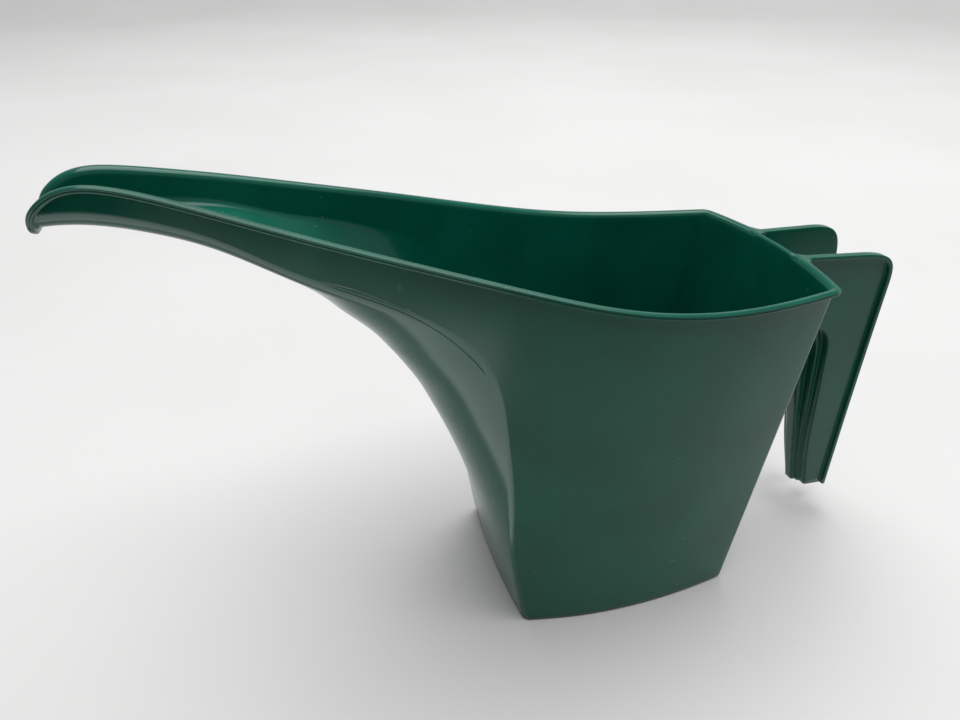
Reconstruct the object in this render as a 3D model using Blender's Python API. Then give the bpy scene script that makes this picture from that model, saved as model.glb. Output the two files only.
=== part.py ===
"""Open-top watering can: a moulded jug whose front rises into an open gutter spout.

A channel handle stands behind it.  Built in metres.  +X points to the handle, -X to the pouring lip,
Z up, and Y = 0 is the mirror plane.  The working outlines are in millimetres, measured from the middle
of the rear rim; place() moves them to the final origin.
"""
import math

import bpy
import numpy as np

MM = 0.001

# Driving dimensions, millimetres
HEIGHT = 159.0          # rear rim above the table
WALL = 1.8              # moulded wall
GAP = 0.3               # clearance between touching pieces
DRAFT = 0.0437          # side walls close in by 2.5 degrees going down
REAR_LEAN = 0.112       # rear wall moves forward going down
REAR_BOW = 7.0          # rear wall bulge at the middle
REAR_CORNER = 2.5       # rounding of the rear vertical corners
FLOOR_TOP = -157.0      # lower edge of the tank walls, where the floor begins
SPOUT_SPLIT = -176.0    # the spout trough ends and the tank walls begin here
UPRIGHT_TO = -190.0     # nearer the lip than this, sections stand upright
RIM_THICK = 1.8         # height of the rim band
RIM_OUT = 2.6           # rim band overhang beyond the wall
HANDLE_X = 55.3         # rear edge of the handle plates at the top
HANDLE_HALF = 16.6      # half spacing of the plates' inner faces at the rear edge
HANDLE_SPLAY = 0.056    # plates open out toward the rear
HANDLE_TAPER = 0.068    # plates close in going down
HANDLE_FLANGE = 2.7     # overhang of the plates' edge flange
X_SHIFT = 106.80        # from the rear rim to the middle of the whole length

# Side view of the handle's front, from the tank round the finger gap and down to the cut end:
# edge of the side plates, face of the first step, face of the nose; then the rear edge of the plates
PLATE_FRONT = [(4, -39.5), (16, -39.2), (26, -39.6), (32, -41.5), (35.6, -47), (37.6, -56),
               (40.7, -77), (42.8, -90), (47.2, -118), (54.6, -145.2)]
STEP_FRONT = [(3, -43.2), (16, -43), (25, -43.6), (29.2, -45.8), (32, -50.5), (33.9, -58),
              (37.3, -78), (39.8, -91), (45.2, -118), (52.8, -145.2)]
NOSE_FRONT = [(2.5, -47.5), (14, -47.4), (21, -48.3), (25.3, -51.8), (28.6, -58.5), (31.4, -65),
              (35.6, -81), (39.6, -97), (44.2, -118), (50.6, -145.2)]
PLATE_BACK = [(8, -0.6), (20, -1.3), (34, -2.0), (46, -2.7), (51.2, -4.2), (54.4, -7.2),
              (56.1, -11.5), (57.1, -20), (58.4, -40), (61.9, -88), (66.6, -145.4)]
STEP_IN = 4.0           # first step, from the outside of the plates

# Half width of the outer wall at rim level, along the length
PLAN = [(-279, 9.2), (-265, 9.8), (-250, 12.2), (-228, 19.0), (-180, 33.6), (-130, 46.0),
        (-100, 52.0), (-70, 54.2), (-38, 52.6), (-7, 47.9), (0, 46.6)]
# Side view of the rim: level at the rear, rising along the spout, rolling over at the lip
RIM = [(0, 0), (-25, 0.1), (-60, 2.1), (-90, 6.8), (-117, 13.6), (-150, 23.2), (-200, 37.8),
       (-240, 49.4), (-254, 52.6), (-262, 53.4), (-269, 52.3), (-275, 49.0), (-278.7, 44.6),
       (-279.7, 41.0)]
# Side view of the lower corner line, from the lip back under the spout and down the front of the tank,
# with the crown of the front face beyond it, the corner radius, how far the inside corner sits above
# the wall's thickness, and the rim or rear-edge point that each section runs to
KEEL = [((-279.6, 39.5), 0.5, 7.0, 0.0, ("rim", -279.6)),
        ((-273.5, 39.7), 0.5, 7.0, 0.2, ("rim", -273.5)),
        ((-266.0, 39.3), 0.5, 7.1, 0.5, ("rim", -266)),
        ((-244.9, 35.7), 0.6, 6.5, 1.4, ("rim", -244.9)),
        ((-226.8, 30.9), 1.1, 6.0, 2.4, ("rim", -225.5)),
        ((-197.9, 18.6), 6.9, 5.9, 3.4, ("rim", -195)),
        ((-179.8, 12.3), 14.8, 8.4, 4.0, ("rim", -170)),
        ((-163.1, 5.6), 22.3, 6.6, 4.4, ("rim", -147)),
        ((-148.0, -4.2), 28.1, 6.1, 4.4, ("rim", -120)),
        ((-140.3, -14.4), 29.1, 5.5, 3.2, ("rim", -85)),
        ((-135.1, -30.1), 26.2, 4.7, 1.6, ("rim", -40)),
        ((-133.1, -45.0), 21.7, 4.4, 0.6, ("rear", 5)),
        ((-130.7, -68.9), 15.0, 5.0, 0.0, ("rear", 40)),
        ((-128.5, -110.5), 4.6, 4.7, 0.0, ("rear", 100)),
        ((-121.5, FLOOR_TOP), 2.6, 4.6, 0.0, ("rear", -FLOOR_TOP))]


def spline(xs, ys):
    """Natural cubic through the given points; returns a function."""
    xs, ys = np.array(xs, float), np.array(ys, float)
    n = len(xs)
    h = np.diff(xs)
    m = np.zeros((n, n))
    rhs = np.zeros(n)
    m[0, 0] = m[-1, -1] = 1
    for i in range(1, n - 1):
        m[i, i - 1], m[i, i], m[i, i + 1] = h[i - 1], 2 * (h[i - 1] + h[i]), h[i]
        rhs[i] = 6 * ((ys[i + 1] - ys[i]) / h[i] - (ys[i] - ys[i - 1]) / h[i - 1])
    curv = np.linalg.solve(m, rhs)

    def value(x):
        x = np.clip(np.asarray(x, float), xs[0] - 60, xs[-1] + 60)
        i = np.clip(np.searchsorted(xs, x) - 1, 0, n - 2)
        a, b = xs[i + 1] - x, x - xs[i]
        low, high = ys[i] / h[i] - curv[i] * h[i] / 6, ys[i + 1] / h[i] - curv[i + 1] * h[i] / 6
        return (curv[i] * a ** 3 + curv[i + 1] * b ** 3) / (6 * h[i]) + low * a + high * b

    return value


def chord(points):
    """Distance along a polyline at each of its points."""
    p = np.array(points, float)
    return np.concatenate([[0], np.cumsum(np.linalg.norm(np.diff(p, axis=0), axis=1))])


plan_width = spline(*zip(*PLAN))
rim_s = chord(RIM)
rim_x, rim_z = spline(rim_s, [p[0] for p in RIM]), spline(rim_s, [p[1] for p in RIM])
RIM_FINE = np.linspace(0, rim_s[-1], 900)


def rear_x(z):
    return REAR_LEAN * z


def edge_path(drop):
    """Rim line lowered by `drop`, and carried on down the rear corner: one line from the lip to the base."""
    x, z = rim_x(RIM_FINE), rim_z(RIM_FINE)
    dx, dz = np.gradient(x), np.gradient(z)
    size = np.hypot(dx, dz)
    x, z = x - drop * dz / size, z + drop * dx / size
    keep = x <= -REAR_CORNER
    rim = np.stack([x[keep], z[keep]], 1)[::-1]
    down = np.linspace(rim[-1, 1], -HEIGHT, 200)[1:]
    rear = np.stack([rear_x(down) - REAR_CORNER, down], 1)
    return rim, np.vstack([rim, rear])


def edge_station(rim, path, s, mark):
    """Distance along the edge path at which a marked point of the rim or rear corner lies."""
    kind, value = mark
    if kind == "rim":
        return float(np.interp(value, rim[:, 0], s[:len(rim)]))
    return float(np.interp(value, -path[len(rim) - 1:, 1], s[len(rim) - 1:]))


def wall_half(x, z):
    """Half width of the outer wall at a point of the side view."""
    top = np.interp(-np.asarray(x, float), -rim_x(RIM_FINE), rim_z(RIM_FINE))
    return plan_width(x) - DRAFT * (top - z)


def section(e, a, sag, radius, inset, lift, counts):
    """Half of one cross-section, from the middle of the bottom out to the rim or rear corner.

    `e` is the corner in side view, `a` the end at the rim or rear corner, `inset` the offset into the wall
    and `lift` the extra height of an inside corner.
    Returns points (x, y, z).
    """
    e, a = np.array(e, float), np.array(a, float)
    length = np.linalg.norm(a - e)
    d = (a - e) / max(length, 1e-6)
    if length < 6:
        d = np.array([0.0, 1.0])
    r0 = inset + lift
    radius = max(radius - inset - 0.6 * lift, 1.5)

    def side(r):
        p = e[:, None] + d[:, None] * np.atleast_1d(r)[None, :]
        return wall_half(p[0], p[1]) - inset

    ye = float(side(r0)[0])
    sag = max(sag, 0.3)
    big = (ye * ye + sag * sag) / (2 * sag)
    phi = np.linspace(0, math.asin(min(ye / big, 1.0)), 60)
    arc = np.stack([r0 - sag + big * (1 - np.cos(phi)), big * np.sin(phi)], 1)
    slope = (float(side(r0 + 5)[0]) - ye) / 5
    t_in = np.array([math.sin(phi[-1]), math.cos(phi[-1])])
    t_out = np.array([1.0, slope]) / math.hypot(1, slope)
    turn = math.acos(float(np.clip(t_in @ t_out, -1, 1)))
    setback = min(radius * math.tan(turn / 2), 0.92 * ye)
    s_arc = chord(arc)
    cut = s_arc[-1] - setback
    p1 = np.array([np.interp(cut, s_arc, arc[:, 0]), np.interp(cut, s_arc, arc[:, 1])])
    ang = np.interp(cut, s_arc, phi)
    d1 = np.array([math.sin(ang), math.cos(ang)])
    p2 = np.array([r0 + setback, float(side(r0 + setback)[0])])
    k = np.linalg.solve(np.stack([d1, t_out], 1), p2 - p1)
    mid = p1 + d1 * k[0]
    w = math.cos(turn / 2)
    t = np.linspace(0, 1, 40)[:, None]
    den = (1 - t) ** 2 + 2 * w * t * (1 - t) + t ** 2
    fillet = ((1 - t) ** 2 * p1 + 2 * w * t * (1 - t) * mid + t ** 2 * p2) / den
    top = max(length, r0 + setback + 2)
    rs = np.linspace(r0 + setback, top, 120)
    wall = np.stack([rs, side(rs)], 1)
    keep = s_arc < cut
    line = np.vstack([arc[keep], fillet, wall[1:]])
    s = chord(line)
    end = float(np.interp(length, line[:, 0], s)) if length > line[0, 0] else 0.4
    b1, b2 = s[keep.sum()], s[keep.sum() + 39]
    b1 = min(b1, 0.42 * end)
    b2 = min(b2, 0.80 * end)
    n1, n2, n3 = counts
    stops = np.concatenate([np.linspace(0, b1, n1 + 1), np.linspace(b1, b2, n2 + 1)[1:],
                            np.linspace(b2, end, n3 + 1)[1:]])
    r = np.interp(stops, s, line[:, 0])
    y = np.interp(stops, s, line[:, 1])
    return np.stack([e[0] + d[0] * r, y, e[1] + d[1] * r], 1)


COUNTS = (5, 5, 12)     # columns across the bottom, the corner and the side wall
ROWS = 54
REAR_HALF = 8           # columns across half of the rear wall


def body_grid(inset, drop):
    """Grid of half sections from the lip to the base."""
    rim, path = edge_path(drop)
    s = chord(path)
    corner = [k[0] for k in KEEL]
    ks = chord(corner)
    ex, ez = spline(ks, [c[0] for c in corner]), spline(ks, [c[1] for c in corner])
    sag, rad, lift = (spline(ks, [k[n] for k in KEEL]) for n in (1, 2, 3))
    ends = spline(ks, [edge_station(rim, path, s, k[4]) for k in KEEL])
    rows = []
    turn = float(s[len(rim) - 1])
    stations = np.linspace(drop, ks[-1], ROWS)
    marks = np.array([float(ends(q)) for q in stations])
    marks[np.argmin(abs(marks - turn))] = turn
    for q, at in zip(stations, marks):
        a = (np.interp(at, s, path[:, 0]), np.interp(at, s, path[:, 1]))
        e = (float(ex(q)), float(ez(q)))
        if e[0] < UPRIGHT_TO:
            a = (e[0], float(np.interp(e[0], rim[:, 0], rim[:, 1])))
        up = float(lift(q)) if inset else 0.0
        rows.append(section(e, a, float(sag(q)) + 0.7 * up, float(rad(q)), inset, up, COUNTS))
    return np.array(rows), turn, list(marks)


def rear_row(z, inset, half):
    """Rear wall at one height, from the side wall round the corner to the middle."""
    x0 = float(rear_x(z))
    x_in = x0 - inset
    c = REAR_CORNER
    yc = float(wall_half(x0, z)) - inset
    p1 = np.array([x0 - c, float(wall_half(x0 - c, z)) - inset])
    p2 = np.array([x_in + bow(yc - c, yc), yc - c])
    mid = np.array([x_in + bow(yc - 0.3, yc) * 0.2, yc])
    pts = []
    for t in np.linspace(0, 1, 5):
        pts.append((1 - t) ** 2 * p1 + 2 * t * (1 - t) * mid + t * t * p2)
    for y in np.linspace(yc - c, 0, half + 1)[1:]:
        pts.append(np.array([x_in + bow(y, yc), y]))
    return np.array([[p[0], p[1], z] for p in pts])


def bow(y, yc):
    return REAR_BOW * (1 - (y / yc) ** 2)


# ---------------------------------------------------------------- mesh helpers

def tone(name, rgb, rough):
    m = bpy.data.materials.new(name)
    m.use_nodes = True
    bsdf = m.node_tree.nodes["Principled BSDF"]
    bsdf.inputs["Base Color"].default_value = (*rgb, 1)
    bsdf.inputs["Roughness"].default_value = rough
    bsdf.inputs["Metallic"].default_value = 0
    m.diffuse_color = (*rgb, 1)
    return m


def place(points):
    p = np.array(points, float)
    return [((x + X_SHIFT) * MM, y * MM, (z + HEIGHT) * MM) for x, y, z in p.reshape(-1, 3)]


def add(name, verts, faces, material):
    mesh = bpy.data.meshes.new(name)
    mesh.from_pydata(place(verts), [], faces)
    mesh.update()
    mesh.materials.append(material)
    obj = bpy.data.objects.new(name, mesh)
    home.objects.link(obj)
    return obj


def shell(name, outer, inner, material, flip=False):
    """Closed solid between two matching grids of points."""
    rows, cols = outer.shape[:2]
    verts = np.vstack([outer.reshape(-1, 3), inner.reshape(-1, 3)])
    base = rows * cols
    faces = []
    for i in range(rows - 1):
        for j in range(cols - 1):
            a, b, c, d = i * cols + j, i * cols + j + 1, (i + 1) * cols + j + 1, (i + 1) * cols + j
            faces.append((a, b, c, d))
            faces.append((base + d, base + c, base + b, base + a))
    edge = [(0, j) for j in range(cols)] + [(i, cols - 1) for i in range(1, rows)]
    edge += [(rows - 1, j) for j in range(cols - 2, -1, -1)] + [(i, 0) for i in range(rows - 2, 0, -1)]
    ring = [i * cols + j for i, j in edge]
    for a, b in zip(ring, ring[1:] + ring[:1]):
        faces.append((b, a, base + a, base + b))
    if flip:
        faces = [f[::-1] for f in faces]
    return add(name, verts, faces, material)


def mirror(grid):
    m = grid.copy()
    m[..., 1] *= -1
    return m


def pull(grid, start=None, end=None, axis=0):
    """Draw a grid's end rows (or columns) in by half a gap, measured along the surface."""
    g = np.swapaxes(grid, 0, 1).copy() if axis else grid.copy()
    for on, i, j in ((start, 0, 1), (end, -1, -2)):
        if on:
            step = g[j] - g[i]
            size = np.linalg.norm(step, axis=-1, keepdims=True)
            g[i] = g[i] + step / np.maximum(size, 1e-6) * np.minimum(on, 0.7 * size)
    return np.swapaxes(g, 0, 1) if axis else g


def both_sides(grid):
    """Full width rows from half rows that start at the middle."""
    return np.concatenate([mirror(grid)[:, :0:-1], grid], axis=1)


for old in list(bpy.data.objects):
    bpy.data.objects.remove(old, do_unlink=True)
home = bpy.data.collections.new("watering_can")
bpy.context.scene.collection.children.link(home)

body_green = tone("green_pp_body", (0.010, 0.085, 0.058), 0.32)
spout_green = tone("green_pp_spout", (0.011, 0.090, 0.061), 0.32)
rim_green = tone("green_pp_rim", (0.014, 0.105, 0.072), 0.30)
handle_green = tone("green_pp_handle", (0.010, 0.088, 0.060), 0.34)

# ---------------------------------------------------------------- tank and spout
drop = RIM_THICK + GAP
outer, rim_end, ends = body_grid(0.0, drop)
inner, _, _ = body_grid(WALL, drop)
split = next(i for i, row in enumerate(outer) if row[0][0] > SPOUT_SPLIT)
keel_cols = COUNTS[0] + COUNTS[1]

half = GAP / 2
s_out, s_in = pull(outer[:split + 1], end=half), pull(inner[:split + 1], end=half)
shell("spout_trough", both_sides(s_out), both_sides(s_in), spout_green)

f_out = pull(pull(outer[split:, :keel_cols + 1], start=half), end=half, axis=1)
f_in = pull(pull(inner[split:, :keel_cols + 1], start=half), end=half, axis=1)
shell("tank_front_wall", both_sides(f_out), both_sides(f_in), body_green)

d_out = pull(pull(pull(outer[split:, keel_cols:], start=half), start=half, axis=1), end=half, axis=1)
d_in = pull(pull(pull(inner[split:, keel_cols:], start=half), start=half, axis=1), end=half, axis=1)
first = next(i for i, at in enumerate(ends) if at >= rim_end)
for row in range(0, first - split):
    d_out[row, -1], d_in[row, -1] = outer[split + row, -1], inner[split + row, -1]
shell("tank_side_wall_left", d_out, d_in, body_green)
shell("tank_side_wall_right", mirror(d_out), mirror(d_in), body_green, flip=True)



def rear_grid(inset):
    """Rear wall from one rear corner to the other, at levels from the rim down."""
    side = np.array([rear_row(z, inset, REAR_HALF) for z in np.linspace(-drop, FLOOR_TOP, 14)])
    full = np.concatenate([side, mirror(side)[:, -2::-1]], axis=1)
    return pull(pull(full, start=half, axis=1), end=half, axis=1)


shell("tank_rear_wall", rear_grid(0.0), rear_grid(WALL), body_green)

# ---------------------------------------------------------------- bottom
foot = np.vstack([outer[-1], rear_row(FLOOR_TOP, 0.0, REAR_HALF)[1:]])
foot = np.vstack([foot, mirror(foot)[-2:0:-1]])
centre = foot.mean(axis=0)
rings = []
for z, inset in ((FLOOR_TOP - GAP, 0.0), (0.9 - HEIGHT, 0.25), (0.3 - HEIGHT, 0.7), (-HEIGHT, 1.4)):
    away = foot - centre
    away[:, 2] = 0
    ring = foot - away / np.linalg.norm(away, axis=1, keepdims=True) * inset
    ring[:, 2] = z
    rings.append(ring)
n = len(foot)
faces = [tuple(range(n))[::-1], tuple(range(3 * n, 4 * n))]
for k in range(3):
    for i in range(n):
        j = (i + 1) % n
        faces.append((k * n + i, k * n + j, (k + 1) * n + j, (k + 1) * n + i))
add("tank_floor", np.vstack(rings), faces, body_green)

# ---------------------------------------------------------------- rim band
top_out, _, top_ends = body_grid(0.0, 0.0)
top_in, _, _ = body_grid(WALL, 0.0)
last = next(i for i, at in enumerate(top_ends) if at >= rim_end)
back_out, back_in, below = rear_row(0, 0.0, 12), rear_row(0, WALL, 12), rear_row(-3, 0.0, 12)
line = np.vstack([top_out[0], top_out[1:last, -1], back_out])
hide = np.vstack([top_in[0], top_in[1:last, -1], back_in])
under = np.vstack([top_out[2], top_out[1:last, -3], below])


def loop(half_line):
    return np.vstack([half_line, mirror(half_line)[-2:0:-1]])


line, hide, under = loop(line), loop(hide), loop(under)
along = np.roll(line, -1, axis=0) - np.roll(line, 1, axis=0)
along /= np.linalg.norm(along, axis=1, keepdims=True)
down = under - line
down -= (down * along).sum(1, keepdims=True) * along
down /= np.linalg.norm(down, axis=1, keepdims=True)
out = np.cross(along, down)
out *= np.sign((out * (line - hide)).sum(1, keepdims=True))
reach = np.full(len(line), RIM_OUT)
behind = line[:, 0] > -1
reach[behind] = np.interp(abs(line[behind, 1]), [19.5, 22.5], [0.0, RIM_OUT])
verts = []
for p, o, d, r in zip(line, out, down, reach):
    for a, h in ((-WALL, RIM_THICK), (-WALL, 0.5), (-WALL + 0.5, 0), (r - 0.6, 0), (r, 0.6),
                 (r, RIM_THICK - 0.4), (r - 0.4, RIM_THICK)):
        verts.append(p + o * a + d * h)
m = len(line)
faces = [(i * 7 + j, ((i + 1) % m) * 7 + j, ((i + 1) % m) * 7 + (j + 1) % 7, i * 7 + (j + 1) % 7)
         for i in range(m) for j in range(7)]
add("rim_band", verts, faces, rim_green)


# ---------------------------------------------------------------- handle
def plate_y(x, z):
    """Inner face of a side plate."""
    return HANDLE_HALF + HANDLE_SPLAY * (x - HANDLE_X) + HANDLE_TAPER * z


def walk(points, count):
    """A smooth line through the given points, with the same share of steps between each two."""
    s = chord(points)
    at = np.linspace(0, len(points) - 1, count)
    k = np.interp(at, range(len(points)), s)
    return np.stack([spline(s, [p[0] for p in points])(k), spline(s, [p[1] for p in points])(k)], 1)


def tank_face(y, z):
    """Outer face of the rear wall."""
    return float(rear_x(z)) + bow(y, float(wall_half(rear_x(z), z)))


STEPS = 41
front, back = walk(PLATE_FRONT, STEPS), walk(PLATE_BACK, STEPS)
for edge, z in ((front, front[0, 1]), (back, back[0, 1])):
    edge[0] = (tank_face(10, z) + GAP, z)
grid = front[:, None] + (back - front)[:, None] * np.linspace(0, 1, 9)[None, :, None]
faces_y = plate_y(grid[..., 0], grid[..., 1])
plate_in = np.stack([grid[..., 0], faces_y, grid[..., 1]], -1)
plate_out = np.stack([grid[..., 0], faces_y + WALL, grid[..., 1]], -1)
shell("handle_plate_left", plate_in, plate_out, handle_green, flip=True)
shell("handle_plate_right", mirror(plate_in), mirror(plate_out), handle_green)

turned = np.gradient(back, axis=0)
turned /= np.linalg.norm(turned, axis=1, keepdims=True)
inward = np.stack([turned[:, 1], -turned[:, 0]], 1)
lip = back + inward * RIM_THICK


def strip(path):
    """Two columns of points beside a side-view line: at the plate, and at the flange's free edge."""
    y = plate_y(path[:, 0], path[:, 1]) + WALL + GAP
    near = np.stack([path[:, 0], y, path[:, 1]], 1)
    return np.stack([near, near + np.array([0, HANDLE_FLANGE - GAP, 0])], 1)


shell("handle_edge_left", strip(back), strip(lip), handle_green, flip=True)
shell("handle_edge_right", mirror(strip(back)), mirror(strip(lip)), handle_green)

step, nose = walk(STEP_FRONT, STEPS), walk(NOSE_FRONT, STEPS)


def web(lines, inset):
    """Half cross-sections of the stepped nose, from its middle out to the side plate."""
    rows = []
    for p0, p1, p2 in zip(*lines):
        edge = float(plate_y(p0[0], p0[1])) - GAP
        face = edge + GAP + WALL
        a, b = 0.45 * face - 1.2 - inset, face - STEP_IN - inset
        low, high = 0.6 * p2 + 0.4 * p1, 0.7 * p1 + 0.3 * p0
        rows.append([(p2[0], 0, p2[1]), (p2[0] + 0.12 * a, a * 0.5, p2[1]),
                     (p2[0] + 0.45 * a, a * 0.88, p2[1]), (max(low[0], p2[0] + 0.6 * a), a, low[1]),
                     (p1[0], a + 0.1, p1[1]), (p1[0], b - 0.4, p1[1]), (high[0], b, high[1]),
                     (p0[0], b + 0.1, p0[1]), (p0[0], edge, p0[1])])
    return np.array(rows)


def shifted(path, by):
    """A side-view line moved sideways by `by`."""
    t = np.gradient(path, axis=0)
    t /= np.linalg.norm(t, axis=1, keepdims=True)
    return path + np.stack([-t[:, 1], t[:, 0]], 1) * by


outside = [front.copy(), step, nose]
inside = [shifted(p, WALL) for p in outside]
for path in outside + inside:
    path[0, 0] = tank_face(0, path[0, 1]) + GAP
w_out, w_in = web(outside, 0.0), web(inside, WALL)
shell("handle_nose_web", both_sides(w_out), both_sides(w_in), handle_green)
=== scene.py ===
"""Looks of the moulded watering can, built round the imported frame.

The can is one moulding.  Its visible surfaces are two closed skins: the body (tank, spout, rim flange and
floor) and the handle.  Outlines are in millimetres from the middle of the rear rim; +X points to the handle
and Y = 0 is the mirror plane.  place() moves them to the frame's origin.
"""
import math

import bmesh
import bpy
import numpy as np
from mathutils import Matrix, Vector


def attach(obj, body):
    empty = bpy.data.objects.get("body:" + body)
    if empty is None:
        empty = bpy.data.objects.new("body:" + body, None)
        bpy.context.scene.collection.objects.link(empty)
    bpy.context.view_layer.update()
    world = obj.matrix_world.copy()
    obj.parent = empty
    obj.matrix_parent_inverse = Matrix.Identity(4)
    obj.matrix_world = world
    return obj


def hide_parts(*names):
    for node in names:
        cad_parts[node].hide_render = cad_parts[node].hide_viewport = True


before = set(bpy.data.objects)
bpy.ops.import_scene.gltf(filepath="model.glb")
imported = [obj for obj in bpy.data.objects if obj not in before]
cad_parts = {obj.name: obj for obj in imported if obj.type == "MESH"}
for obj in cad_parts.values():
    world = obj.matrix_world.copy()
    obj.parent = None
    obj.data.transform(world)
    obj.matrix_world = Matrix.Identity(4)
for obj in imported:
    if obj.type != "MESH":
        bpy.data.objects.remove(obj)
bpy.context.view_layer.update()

MM = 0.001
MIRROR = [1, -1, 1]     # to the other side of the mirror plane
HEIGHT = 159.0          # rear rim above the table
X_SHIFT = 106.80        # from the rear rim to the middle of the whole length
WALL = 1.8              # moulded wall
DRAFT = 0.0437          # side walls close in by 2.5 degrees going down
REAR_LEAN = 0.112       # rear wall moves forward going down
REAR_BOW = 7.0          # rear wall bulge at the middle
CORNER_OUT = 1.7        # where the rear corner's rounding starts, outside and inside
CORNER_IN = 3.1
RIM_THICK = 1.9         # height of the rim flange
RIM_OUT = 2.5           # rim flange overhang beyond the wall
RIM_TOP_IN = 2.3        # where the inner wall's top edge starts to round
ROOT_DROP_OUT = 0.9     # gap between the flange and the first row of the wall, outside and inside
ROOT_DROP_IN = 0.4
LIP_FROM, LIP_TO = 276.5, 279           # the overhang shrinks between these distances, going round the lip
LIP_SHRINK = 0.9
EAR_FILLET, EAR_FILLET_IN = 6.5, 3.0    # sweep of the rear rim into the handle plates, outside and between
GROOVE_LEVELS = (1.26, 1.16, 0.92, 0.80)    # foot, bottom and top of the groove in the rim's edge, going up
WALL_END_OUT = -157.2   # lower end of the walls, outside and inside, where they turn into the bottom
WALL_END_IN = -154.6
TOP_ROWS_END = -156.0   # lower end of the rows that carry the rim line
BASE_ROUND_OUT = 2.0    # rounding between wall and bottom, outside and inside
BASE_ROUND_IN = 2.4
HANDLE_X = 55.3         # rear edge of the handle plates at the top
HANDLE_HALF = 16.6      # half spacing of the plates' inner faces at the rear edge
HANDLE_SPLAY = 0.056    # plates open out toward the rear
HANDLE_TAPER = 0.068    # plates close in going down
HANDLE_FLANGE = 2.0     # overhang of the plates' edge flange
HANDLE_CUT = -145.3     # level cut end of the handle
STEP_IN = 4.0           # first step of the handle web, from the outside of the plates
NOSE_SHARE = 0.45       # width of the web's nose as a share of the width over the plates
ROOT_ROUND = 1.6        # rounding where the handle meets the rear wall
SEAM_DEPTH = 0.20       # depth of the sliver between the two mould lines

# Half width of the outer wall at rim level, along the length
PLAN = [(-279, 9.2), (-265, 9.8), (-250, 12.2), (-228, 19.0), (-180, 33.6), (-130, 46.0),
        (-100, 52.0), (-70, 54.2), (-38, 52.6), (-7, 47.9), (0, 46.6)]
# Side view of the rim: level at the rear, rising along the spout, rolling over at the lip
RIM = [(0, 0), (-25, 0.1), (-60, 2.1), (-90, 6.8), (-117, 13.6), (-150, 23.2), (-200, 37.8),
       (-240, 49.4), (-254, 52.6), (-262, 53.4), (-269, 52.3), (-275, 49.0), (-278.7, 44.6),
       (-279.7, 41.0)]
# Side view of the lower corner line, from the lip back under the spout and down the front of the tank:
# its points, the crown of the front face beyond it, the corner radius, how far the inside corner sits
# above the wall's thickness, and the point of the rim or rear edge that each section runs to.
# Most of these numbers came from least-squares fits to the photo's outline.  The height of the
# inside corner was set one by one, and the rows at the lip and the base were touched up.
KEEL = [((-279.6, 39.5), 0.5, 7.0, 0.0, ("rim", -279.6)),
        ((-273.5, 39.7), 0.5, 7.0, 0.2, ("rim", -273.5)),
        ((-266.0, 39.3), 0.5, 7.1, 0.5, ("rim", -266)),
        ((-244.9, 35.7), 0.6, 6.5, 1.4, ("rim", -244.9)),
        ((-226.8, 30.9), 1.1, 6.0, 2.4, ("rim", -225.5)),
        ((-197.9, 18.6), 7.4, 5.9, 3.4, ("rim", -195)),
        ((-179.8, 12.3), 15.4, 8.4, 4.0, ("rim", -170)),
        ((-163.1, 5.6), 22.2, 6.6, 4.4, ("rim", -147)),
        ((-148.0, -4.2), 28.2, 6.1, 4.4, ("rim", -120)),
        ((-140.3, -14.4), 29.9, 5.5, 3.2, ("rim", -85)),
        ((-135.1, -30.1), 26.2, 4.7, 1.6, ("rim", -40)),
        ((-133.1, -45.0), 21.7, 4.4, 0.6, ("rear", 5)),
        ((-130.7, -68.9), 15.0, 5.0, 0.0, ("rear", 40)),
        ((-128.5, -110.5), 4.6, 4.7, 0.0, ("rear", 100)),
        ((-121.5, -157.0), 2.6, 4.6, 0.0, ("rear", 157))]
# Two fine mould lines on each front corner, side view; they leave the spout together and meet in a point.
# A separate program worked their points out, from marks read off the photo and the fitted camera.
SEAM_UPPER = [(-194.8, 21.0), (-187.2, 18.7), (-182.5, 17.1), (-176.4, 14.1), (-169.1, 10.4),
              (-163.0, 7.2), (-157.8, 3.9), (-152.6, 0.0), (-147.8, -4.4), (-144.5, -8.7),
              (-141.8, -13.9), (-140.5, -19.5)]
SEAM_LOWER = [(-194.9, 20.1), (-191.0, 18.4), (-185.8, 16.4), (-180.6, 14.2), (-175.4, 12.0),
              (-168.5, 8.6), (-162.0, 4.4), (-156.7, 0.2), (-152.0, -4.1), (-148.3, -8.2),
              (-144.6, -12.6), (-142.0, -16.6), (-140.5, -19.7)]
SEAM_FADE = [(-194, 0), (-182, 1), (-142.4, 1), (-141.6, 0)]     # strength along the length

# Side view of the handle: edge of the side plates, face of the first step, face of the nose, and the
# plates' top and rear edge with its rounded corner
PLATE_FRONT = [(4, -39.5), (16, -39.2), (26, -39.6), (32.6, -41.5), (36.6, -47), (38.8, -56),
               (42.0, -77), (43.9, -90), (48.2, -118), (54.6, HANDLE_CUT)]
STEP_FRONT = [(3, -43.2), (16, -43), (25, -43.4), (30.6, -45.2), (34.0, -50.0), (36.2, -58),
              (39.5, -78), (41.6, -91), (46.4, -118), (53.0, HANDLE_CUT)]
NOSE_FRONT = [(2.5, -47.5), (14, -47.4), (21, -48.3), (25.3, -51.8), (28.6, -58.5), (31.4, -65),
              (35.6, -81), (39.6, -97), (44.2, -118), (50.6, HANDLE_CUT)]
PLATE_BACK = [(6, -0.2), (20, -0.8), (34, -1.5), (46, -2.5), (51.2, -4.2), (54.4, -7.2), (56.1, -11.5),
              (57.1, -20), (58.4, -40), (61.9, -88), (66.6, HANDLE_CUT)]
SOFTENING = [(0.6, 1.0), (0.85, 1.8), (1.0, 2.6)]    # the section's corners get rounder toward the cut end

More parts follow.
